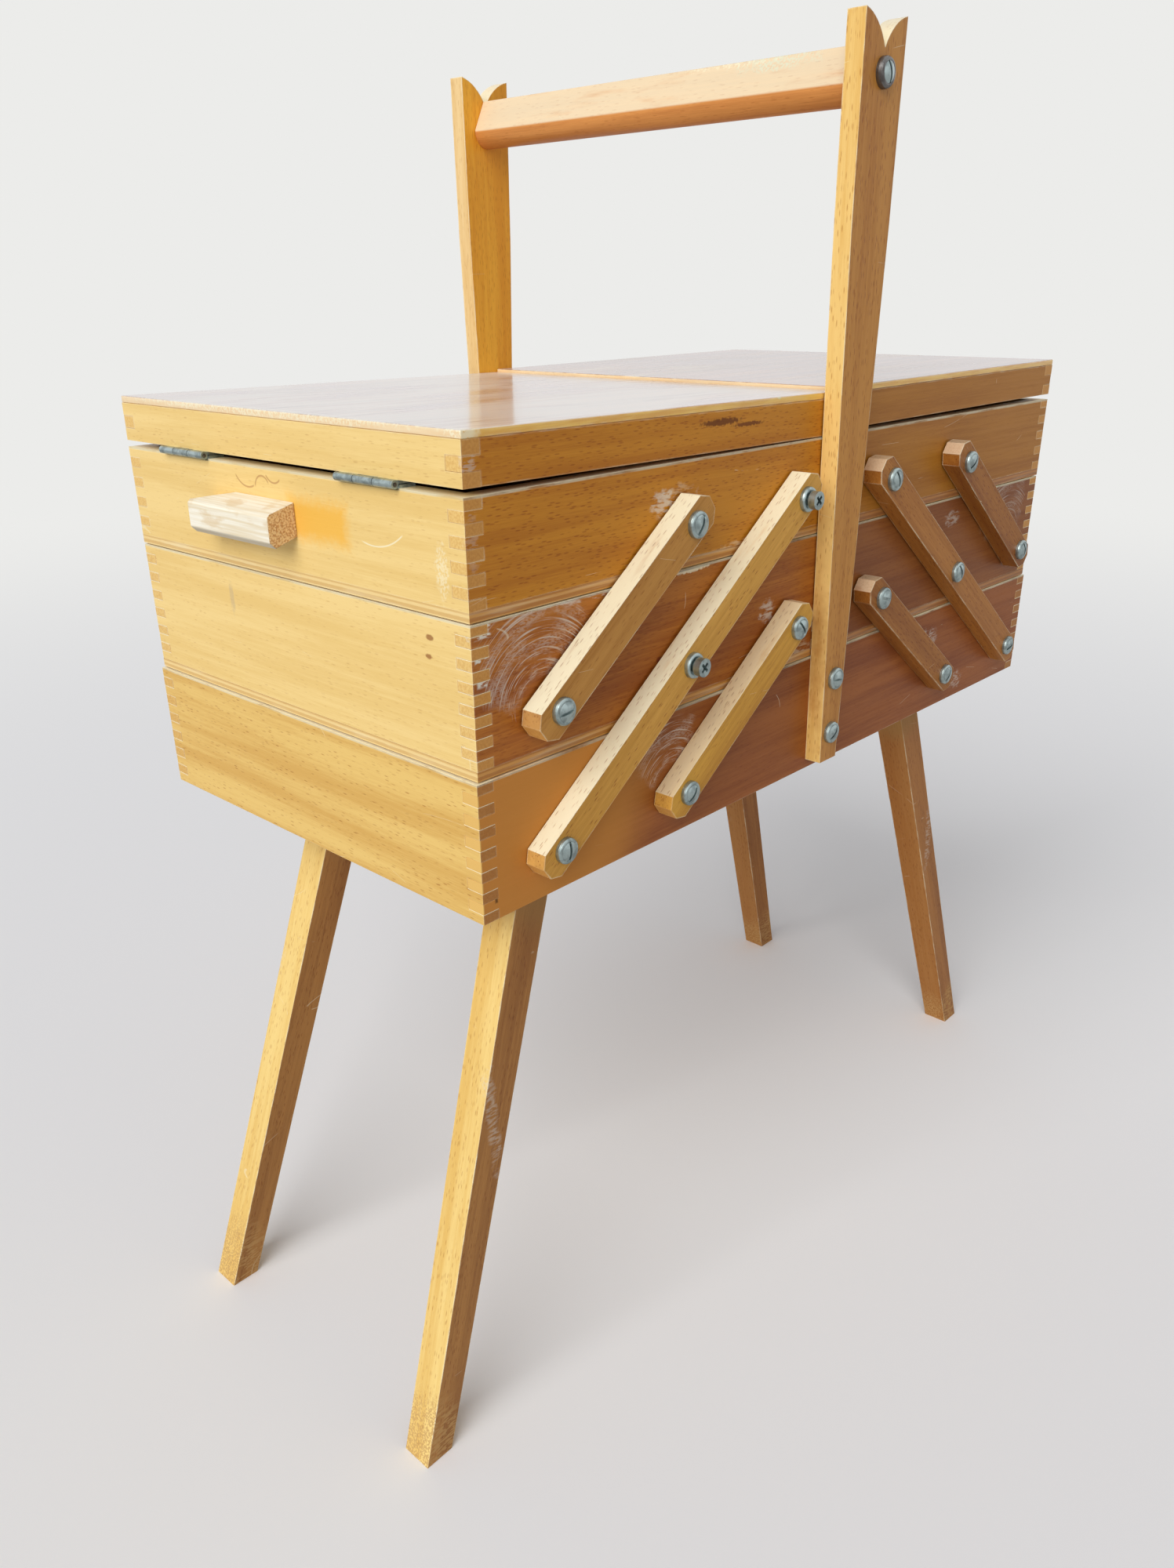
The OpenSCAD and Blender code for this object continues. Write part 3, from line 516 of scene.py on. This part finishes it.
def left_end_marks():
    """The left end's knots, curls, rubbed spots and unfaded patch, for its top and its middle tray."""
    knot, line, unfaded = srgb(150, 92, 46), srgb(186, 134, 84), srgb(246, 186, 70)
    on_top_tray = (
        block((-226, -46, 410), (-211, -8, 427.5), unfaded, 0.85, 5),
        patch((LEFT_X, -96, 410), (3, 4, 12), WORN_AND_HIGHLIGHT, 0.5, 0.5, 1.0),
        ring((LEFT_X, 17, 437), 10, 0.5, (LEFT_X, 20, 427), (9, 8, 6), line),
        ring((LEFT_X, 7, 427), 5, 0.5, (LEFT_X, 8, 431), (9, 6, 5), line),
        ring((LEFT_X, -1, 436), 6, 0.5, (LEFT_X, 0, 430), (9, 6, 4), line),
        ring((LEFT_X, -60, 440), 26, 0.4, (LEFT_X, -66, 416), (9, 14, 6), WORN_AND_HIGHLIGHT),
    )
    on_mid_tray = (
        patch((LEFT_X, -87, 386), (3, 2.4, 1.3), knot, 0.8, 0.3),
        patch((LEFT_X, -86, 379), (3, 2.2, 1.1), knot, 0.8, 0.3),
        patch((LEFT_X, 40, 380), (2, 2.0, 8), srgb(186, 168, 140), 0.4, 0.5),
    )
    return {"left_top": on_top_tray, "left_mid": on_mid_tray}


def dress_ends():
    """The end boards, grain across the box: beech painted paler than the long boards, which is painted
    light on the lit ends.
    """
    # Pale tones: painted light, for end boards lit from the left.
    tones = srgb(246, 214, 142), srgb(236, 200, 124)
    marks = left_end_marks()
    plain = {"flecks": 0.45, "wear": 0.4, "end": srgb(204, 142, 66)}
    seed = 0
    for side, _ in SIDES:
        for tray, rim in (("top", TOP_RIM), ("mid", MID_RIM)):
            seed += 1
            place = side + "_" + tray
            dress([place + "_outer_end"], wood(
                tray + "_end_" + side, *tones, ACROSS, seed,
                crown=0.8, rim=rim, marks=marks.get(place, ()), **plain))
        seed += 1
        dress([side + "_lid_ends"], wood("lid_end_" + side, *tones, ACROSS, seed, **plain))
    inner = wood("inner_ends", srgb(226, 180, 112), srgb(200, 148, 80), ACROSS, 7, crown=0.8)
    dress([side + tray + "_inner_end" for side, _ in SIDES for tray in ("_mid", "_top")], inner)
    base_tones = srgb(236, 198, 116), srgb(218, 172, 90)
    base_like = {"flecks": 1.0, "wear": 0.4, "crown": 0.8, "rim": BASE_RIM, "end": srgb(176, 114, 54)}
    for seed, (side, _) in enumerate(SIDES, 8):
        dress(["base_" + side + "_end"], wood("base_end_" + side, *base_tones, ACROSS, seed, **base_like))


def lid_front_marks():
    return (
        patch((-84, FRONT_Y, 447.5), (15, 3, 1.6), srgb(100, 50, 22), 0.85, 0.7),
        patch((-66, FRONT_Y, 445.4), (12, 3, 1.0), srgb(108, 56, 26), 0.85, 0.6),
        patch((-216, FRONT_Y, 446), (4, 3, 9), CHALK, 0.35, 0.6, 0.4),
    )


def top_front_marks():
    return (
        patch((-216, FRONT_Y, 420), (4, 3, 12), CHALK, 0.2, 0.6, 0.4),
        patch((-110, FRONT_Y, 423), (12, 3, 5), WORN_AND_HIGHLIGHT, 0.25, 0.5, 1.0),
        patch((-60, FRONT_Y, 398), (26, 3, 3), WORN_AND_HIGHLIGHT, 0.3, 0.5, 1.0),
        patch((-118, FRONT_Y, 421), (10, 3, 6), CHALK, 0.6, 0.6, 1.0),
        patch((-98, FRONT_Y, 415), (3, 3, 9), CHALK, 0.5, 0.6, 1.0),
    )


def mid_front_marks():
    return (
        arcs((-186, FRONT_Y, MID_SCREW), 10, 44, (-190, FRONT_Y, 380), (32, 6, 26), 0.8),
        block((-219, -112, 388), (-209.5, -106, 393.5), SCRAPED, 0.9, 0.8, 0.6),
        block((-217.5, -112, 379.5), (-211.5, -106, 385), SCRAPED, 0.95, 0.8, 0.6),
        block((-217, -112, 371), (-212, -106, 376), SCRAPED, 0.9, 0.8, 0.6),
        patch((-150, FRONT_Y, 393), (50, 3, 1.6), CHALK, 0.5, 0.5, 0.8),
        patch((-100, FRONT_Y, 393), (14, 3, 1.6), WORN_AND_HIGHLIGHT, 0.8, 0.5),
        patch((-119, FRONT_Y, 360), (3, 3, 1.4), srgb(120, 50, 30), 0.8, 0.3),
        patch((-19, FRONT_Y, 342), (12, 3, 5), WORN_AND_HIGHLIGHT, 0.3, 0.5, 1.0),
        patch((-46, FRONT_Y, 366), (7, 3, 6), CHALK, 0.6, 0.6, 1.0),
        patch((-26, FRONT_Y, 352), (5, 3, 8), CHALK, 0.5, 0.6, 1.0),
    )


def base_front_marks(end):
    return (
        arcs((-111, BASE_FRONT_Y, BASE_SCREW), 10, 34, (-114, BASE_FRONT_Y, 320), (24, 6, 18), 0.9),
        # Painted light: a paler patch over the base front's left part by the lit corner, and the finger
        # ends on the left end face in the pale end tone.
        patch((-210, -109, 305), (95, 70, 90), srgb(206, 138, 60), 0.88, 0.2),
        block((-224, -114, 276), (-219.4, -95, 345), end, 0.9, 0.3),
        patch((105, BASE_FRONT_Y, 321), (14, 3, 6), CHALK, 0.5, 0.6, 1.0),
        patch((146, BASE_FRONT_Y, 289), (8, 3, 6), CHALK, 0.4, 0.6, 1.0),
        block((-215, -112, 298), (-212, -106, 301), DARK_STAIN, 0.8, 0.6),
        block((-214, -112, 287), (-212.5, -106, 291), DARK_STAIN, 0.8, 0.6),
    )


def right_mid_front_marks():
    return (
        arcs((186, FRONT_Y, MID_SCREW), 10, 44, (180, FRONT_Y, 382), (30, 6, 26), 0.5),
        patch((120, FRONT_Y, 383), (9, 3, 5), CHALK, 0.4, 0.6, 1.0),
    )


def dress_sides():
    """The long boards: orange-brown varnish over beech, grain along the box, darker lower down and on the
    right, which is painted shade.
    """
    # end and low_end, the finger ends seen on the end faces, are pale as painted light of the lit left end.
    end, low_end = srgb(242, 206, 130), srgb(232, 190, 110)
    lid_like = {"end": end}
    top_like = {"wear": 0.45, "crown": 0.9, "rim": TOP_RIM, "end": end}
    mid_like = {"wear": 0.45, "crown": 0.9, "rim": MID_RIM, "end": end}
    base_like = {"wear": 0.45, "crown": 0.9, "rim": BASE_RIM, "end": low_end}
    top_tones = srgb(204, 136, 38), srgb(182, 112, 28)
    # The mid, base and right tones are darker than the top tones as painted shade.
    mid_tones = srgb(188, 116, 42), srgb(152, 82, 28)
    base_tones = srgb(162, 94, 40), srgb(134, 70, 28)
    right_tones = srgb(180, 120, 42), srgb(160, 100, 32)
    right_mid_tones = srgb(152, 92, 40), srgb(130, 72, 30)
    boards = (
        ("left_lid_sides", "lid_side_left", top_tones, 0.6, lid_front_marks(), lid_like),
        ("left_top_sides", "top_side_left", top_tones, 0.6, top_front_marks(), top_like),
        ("left_mid_sides", "mid_side_left", mid_tones, 0.4, mid_front_marks(), mid_like),
        ("base_front", "base_front", base_tones, 0.6, base_front_marks(low_end), base_like),
        ("base_back", "base_back", base_tones, 0.6, (), base_like),
        ("right_lid_sides", "lid_side_right", right_tones, 0.4, (), lid_like),
        ("right_top_sides", "top_side_right", right_tones, 0.4, (), top_like),
        ("right_mid_sides", "mid_side_right", right_mid_tones, 0.4, right_mid_front_marks(), mid_like),
    )
    for seed, (node, name, tones, flecks, marks, like) in enumerate(boards, 11):
        dress([node], wood(name, *tones, ALONG, seed, flecks=flecks, marks=marks, **like))


def dress_arms():
    """The link arms, with their upper edges rubbed pale and given a painted highlight; the right arms are
    darker and less pale on top, as painted shade.
    """
    slopes = {"left": RISING, "right": FALLING}
    ends = {"left": srgb(222, 168, 92), "right": srgb(206, 150, 106)}
    # The right arms' darker tones and weaker crown are painted shade.
    right_shaded = srgb(168, 108, 44), srgb(142, 84, 32)
    arms = (
        ("left_long_arms", srgb(226, 170, 78), srgb(200, 144, 58), 0.95),
        ("left_lower_arms", srgb(220, 164, 62), srgb(192, 134, 46), 0.6),
        ("left_upper_arms", srgb(198, 142, 68), srgb(172, 114, 46), 0.95),
        ("right_long_arms", srgb(184, 122, 54), srgb(158, 98, 40), 0.35),
        ("right_lower_arms", *right_shaded, 0.35),
        ("right_upper_arms", *right_shaded, 0.35),
    )
    for seed, (name, light, dark, crown) in enumerate(arms, 20):
        side = name.split("_")[0]
        dress([name], wood(
            name, light, dark, slopes[side], seed, flecks=0.9, wear=0.8, crown=crown, end=ends[side]))


def dress_frame():
    """The uprights and the handle bar."""
    front_tones = srgb(200, 140, 66), srgb(176, 114, 48)
    back_tones = srgb(254, 190, 66), srgb(236, 162, 50)
    bar_tones = srgb(226, 154, 82), srgb(202, 130, 66)
    upright_marks = (
        patch((24, -117.5, 455), (3, 4, 26), CHALK, 0.45, 0.6, 1.0),
        # Painted shade: darker low on the front upright's left face.
        patch((-15, -113, 320), (9, 12, 80), srgb(192, 124, 56), 0.8, 0.3),
    )
    bar_marks = (
        patch((0, -70, 579), (12, 26, 6), srgb(226, 230, 204), 0.7, 0.5, 0.6),
        patch((0, -40, 579), (3, 40, 2), WORN_AND_HIGHLIGHT, 0.6, 0.6, 0.8),
    )
    # The uprights' pale cheeks are painted light on the faces lit from the left end.
    dress(["front_upright"], wood(
        "front_upright", *front_tones, UP, 31,
        flecks=0.65, wear=0.8, crown=0.8, cheeks=srgb(246, 206, 126), marks=upright_marks))
    dress(["back_upright"], wood(
        "back_upright", *back_tones, UP, 32,
        flecks=0.35, wear=0.9, crown=0.8, cheeks=srgb(244, 210, 150)))
    dress(["handle_bar"], wood(
        "handle_bar", *bar_tones, ACROSS, 33, flecks=0.3, wear=0.8, crown=0.65, marks=bar_marks))


def leg_marks(way, lean):
    """A leg's worn foot, painted shadow of the box on its top, and its scratches; way and lean are -1 or 1.
    """
    return (
        patch((way * FOOT_X, lean * FOOT_Y, 0), (30, 30, 40), srgb(196, 154, 96), 0.7, 0.5, 0.2),
        # Painted shadow under the box on the leg's top.
        patch((way * 152, lean * 64, 276), (50, 50, 46), srgb(170, 130, 76), 0.7, 0.3),
        patch((way * 222, lean * 92, 100), (12, 5, 60), WORN_AND_HIGHLIGHT, 0.6, 0.6, 1.0),
        patch((way * 196, lean * 86, 170), (5, 12, 50), CHALK, 0.35, 0.6, 1.0),
    )


def dress_legs():
    """The legs: light, dark and cheek tones by side; the left legs' pale cheeks are painted light and the
    right legs' darker cheeks painted shade.
    """
    leg_tones = {
        "left": (srgb(182, 128, 68), srgb(154, 102, 52), srgb(244, 212, 134)),
        "right": (srgb(178, 118, 56), srgb(152, 96, 44), srgb(178, 122, 64)),
    }
    seed = 33
    for end, lean in (("front", -1), ("back", 1)):
        for side, way in SIDES:
            seed += 1
            name = end + "_" + side + "_leg"
            run = (-way * LEG_SPREAD, -lean * LEG_LEAN, LEG_HEIGHT)
            light, dark, cheeks = leg_tones[side]
            dress([name], wood(
                name, light, dark, run, seed, wear=0.9, cheeks=cheeks, marks=leg_marks(way, lean)))


def dress_bottoms():
    """The plywood bottoms of the trays and the base box, and the pulls."""
    face = srgb(222, 184, 124)
    # The ply edges' pale end tones, browner side tones and darker right side tones are painted light and
    # shade.
    end_tones = srgb(242, 210, 142), srgb(222, 182, 112)
    side_tones = {
        "left": (srgb(206, 146, 66), srgb(180, 116, 42)),
        "right": (srgb(182, 122, 58), srgb(156, 98, 42)),
    }
    for number, (side, _) in enumerate(SIDES):
        tones = face, end_tones, side_tones[side]
        dress([side + "_mid_bottom"], plywood(side + "_mid_ply", *tones, MID_PLY, 1.2, number))
        dress([side + "_top_bottom"], plywood(side + "_top_ply", *tones, TOP_PLY, 1.2, number + 3))
        dress([side + "_pull"], bare_wood(side + "_pull", number + 1))
    dress(["base_bottom"], plywood("base_ply", face, end_tones, end_tones, BASE_PLY, 1.25, 6))


def dress_panels():
    """The lids' panels; the left one has more pale haze, which is partly a painted reflection, and has kept
    more of its gloss.
    """
    chips = (
        patch((-45, -110, 454.6), (2.4, 4, 1.9), PALE_CHIP, 0.9, 0.2),
        patch((LEFT_X, -108, 456), (9, 9, 5), WORN_AND_HIGHLIGHT, 0.7, 0.6, 0.4),
        patch((LEFT_X, 0, 456), (6, 110, 3), WORN_AND_HIGHLIGHT, 0.6, 0.6, 0.4),
    )
    dress(["left_lid_panel"], veneer("lid_panel_left", 1, 0.26, 0.8, chips))
    dress(["right_lid_panel"], veneer("lid_panel_right", 4, 0.16, 0.55))


def dress_metal():
    """Zinc screws, washers and hinge leaves, and darker steel at the handle and in the hinges."""
    zinc = steel("zinc_steel", srgb(172, 186, 184), srgb(84, 94, 94), 1)
    dark = steel("dark_steel", srgb(118, 116, 114), srgb(78, 70, 66), 2, 0.7)
    screws = ["leg_screws", "base_screws", "base_washers"]
    for side, _ in SIDES:
        screws += [side + part for part in ("_mid_screws", "_mid_washers", "_top_screws", "_top_washers")]
        screws += [side + "_tray_hinge_leaves", side + "_lid_hinge_leaves"]
    dress(screws, zinc)
    dress(["handle_washers", "left_hinge_pins", "right_hinge_pins"], dark)


def soften_boards():
    """Sands the boards a little, and the pieces that hands touch more."""
    boards = ["base_front", "base_back", "base_left_end", "base_right_end"]
    rounded = ["front_upright", "back_upright", "handle_bar"]
    rounded += [end + "_" + side + "_leg" for end in ("front", "back") for side, _ in SIDES]
    for side, _ in SIDES:
        boards += [side + part for part in ("_mid_sides", "_top_sides", "_lid_sides", "_lid_ends")]
        boards += [side + part for part in ("_mid_outer_end", "_mid_inner_end")]
        boards += [side + part for part in ("_top_outer_end", "_top_inner_end")]
        rounded += [side + part for part in ("_long_arms", "_lower_arms", "_upper_arms", "_pull")]
        rounded += [side + "_lid_panel"]
    soften(boards, 0.22)
    soften(rounded, 0.5, 3)


def place(thing):
    """Puts an object into the scene."""
    bpy.context.scene.collection.objects.link(thing)
    return thing


def make_floor(radius):
    """A wide pale floor, radius in metres, that runs into the background far away."""
    mesh = bpy.data.meshes.new("floor")
    drawing = bmesh.new()
    bmesh.ops.create_circle(drawing, cap_ends=True, segments=96, radius=radius)
    drawing.to_mesh(mesh)
    drawing.free()
    floor = place(bpy.data.objects.new("floor", mesh))
    graph = Graph("floor")
    spot = graph.spot()
    clouds = graph.noise(spot, (400, 400, 400), 2.0)
    tone = graph.mix(graph.fade(clouds, 0.3, 0.7), srgb(226, 226, 224), srgb(222, 222, 220))
    seen = graph.node("ShaderNodeLightPath", {}).outputs["Is Camera Ray"]
    matt = graph.node("ShaderNodeBsdfDiffuse", {"Color": graph.mix(seen, tone, srgb(250, 250, 250))})
    glow = graph.node("ShaderNodeEmission", {"Color": PALE, "Strength": 1.0})
    share = graph.product(graph.fade(graph.length(spot), 600, 2600), seen)
    both = graph.node("ShaderNodeMixShader", {0: share, 1: matt.outputs[0], 2: glow.outputs[0]})
    graph.node("ShaderNodeOutputMaterial", {"Surface": both.outputs[0]})
    mesh.materials.append(graph.material)


def make_world(level):
    """Even light from all round; the camera sees a pale background, and shiny surfaces a white one."""
    world = bpy.data.worlds.new("studio")
    bpy.context.scene.world = world
    world.use_nodes = True
    tree = world.node_tree
    tree.nodes.clear()
    path = tree.nodes.new("ShaderNodeLightPath")

    def background(colour, strength):
        made = tree.nodes.new("ShaderNodeBackground")
        made.inputs["Color"].default_value = colour
        made.inputs["Strength"].default_value = strength
        return made.outputs[0]

    def chosen(ray, otherwise, then):
        made = tree.nodes.new("ShaderNodeMixShader")
        tree.links.new(path.outputs[ray], made.inputs[0])
        tree.links.new(otherwise, made.inputs[1])
        tree.links.new(then, made.inputs[2])
        return made.outputs[0]

    light = background(srgb(250, 250, 255), level)
    mirrored = chosen("Is Glossy Ray", light, background(srgb(250, 252, 255), 1.0))
    seen = chosen("Is Camera Ray", mirrored, background(PALE, 1.0))
    output = tree.nodes.new("ShaderNodeOutputWorld")
    tree.links.new(seen, output.inputs["Surface"])


def make_sun(name, towards, strength, softness):
    """A soft distant lamp: the direction to it, its light on a facing surface, and its width in degrees."""
    data = bpy.data.lights.new(name, "SUN")
    data.energy = strength * math.pi
    data.angle = math.radians(softness)
    lamp = place(bpy.data.objects.new(name, data))
    lamp.rotation_euler = Vector(towards).to_track_quat("Z", "Y").to_euler()


def make_camera():
    """The camera at the photograph's place, solved from the box's edges, the pivots and the feet."""
    eye = Vector((-0.4761, -0.4028, 0.4970))
    yaw, pitch, roll = math.radians(43.4), math.radians(25.0), math.radians(-0.7)
    ahead = Vector((math.cos(yaw) * math.cos(pitch), math.sin(yaw) * math.cos(pitch), -math.sin(pitch)))
    right = Vector((math.sin(yaw), -math.cos(yaw), 0))
    up = right.cross(ahead)
    level = math.cos(roll) * right + math.sin(roll) * up
    top = math.cos(roll) * up - math.sin(roll) * right
    data = bpy.data.cameras.new("camera")
    data.sensor_width = 36
    data.lens = 27.26
    data.shift_x = 0.0023
    data.shift_y = 0.0339
    data.clip_start = 0.01
    camera = place(bpy.data.objects.new("camera", data))
    turn = Matrix((level, top, -ahead)).transposed().to_4x4()
    camera.matrix_world = Matrix.Translation(eye) @ turn
    bpy.context.scene.camera = camera


dress_ends()
dress_sides()
dress_arms()
dress_frame()
dress_legs()
dress_bottoms()
dress_panels()
dress_metal()
soften_boards()
make_floor(12.0)
make_world(0.33)
make_sun("key", (-0.80, -0.22, 0.56), 0.75, 50)
make_camera()
bpy.context.scene.view_settings.view_transform = "Standard"
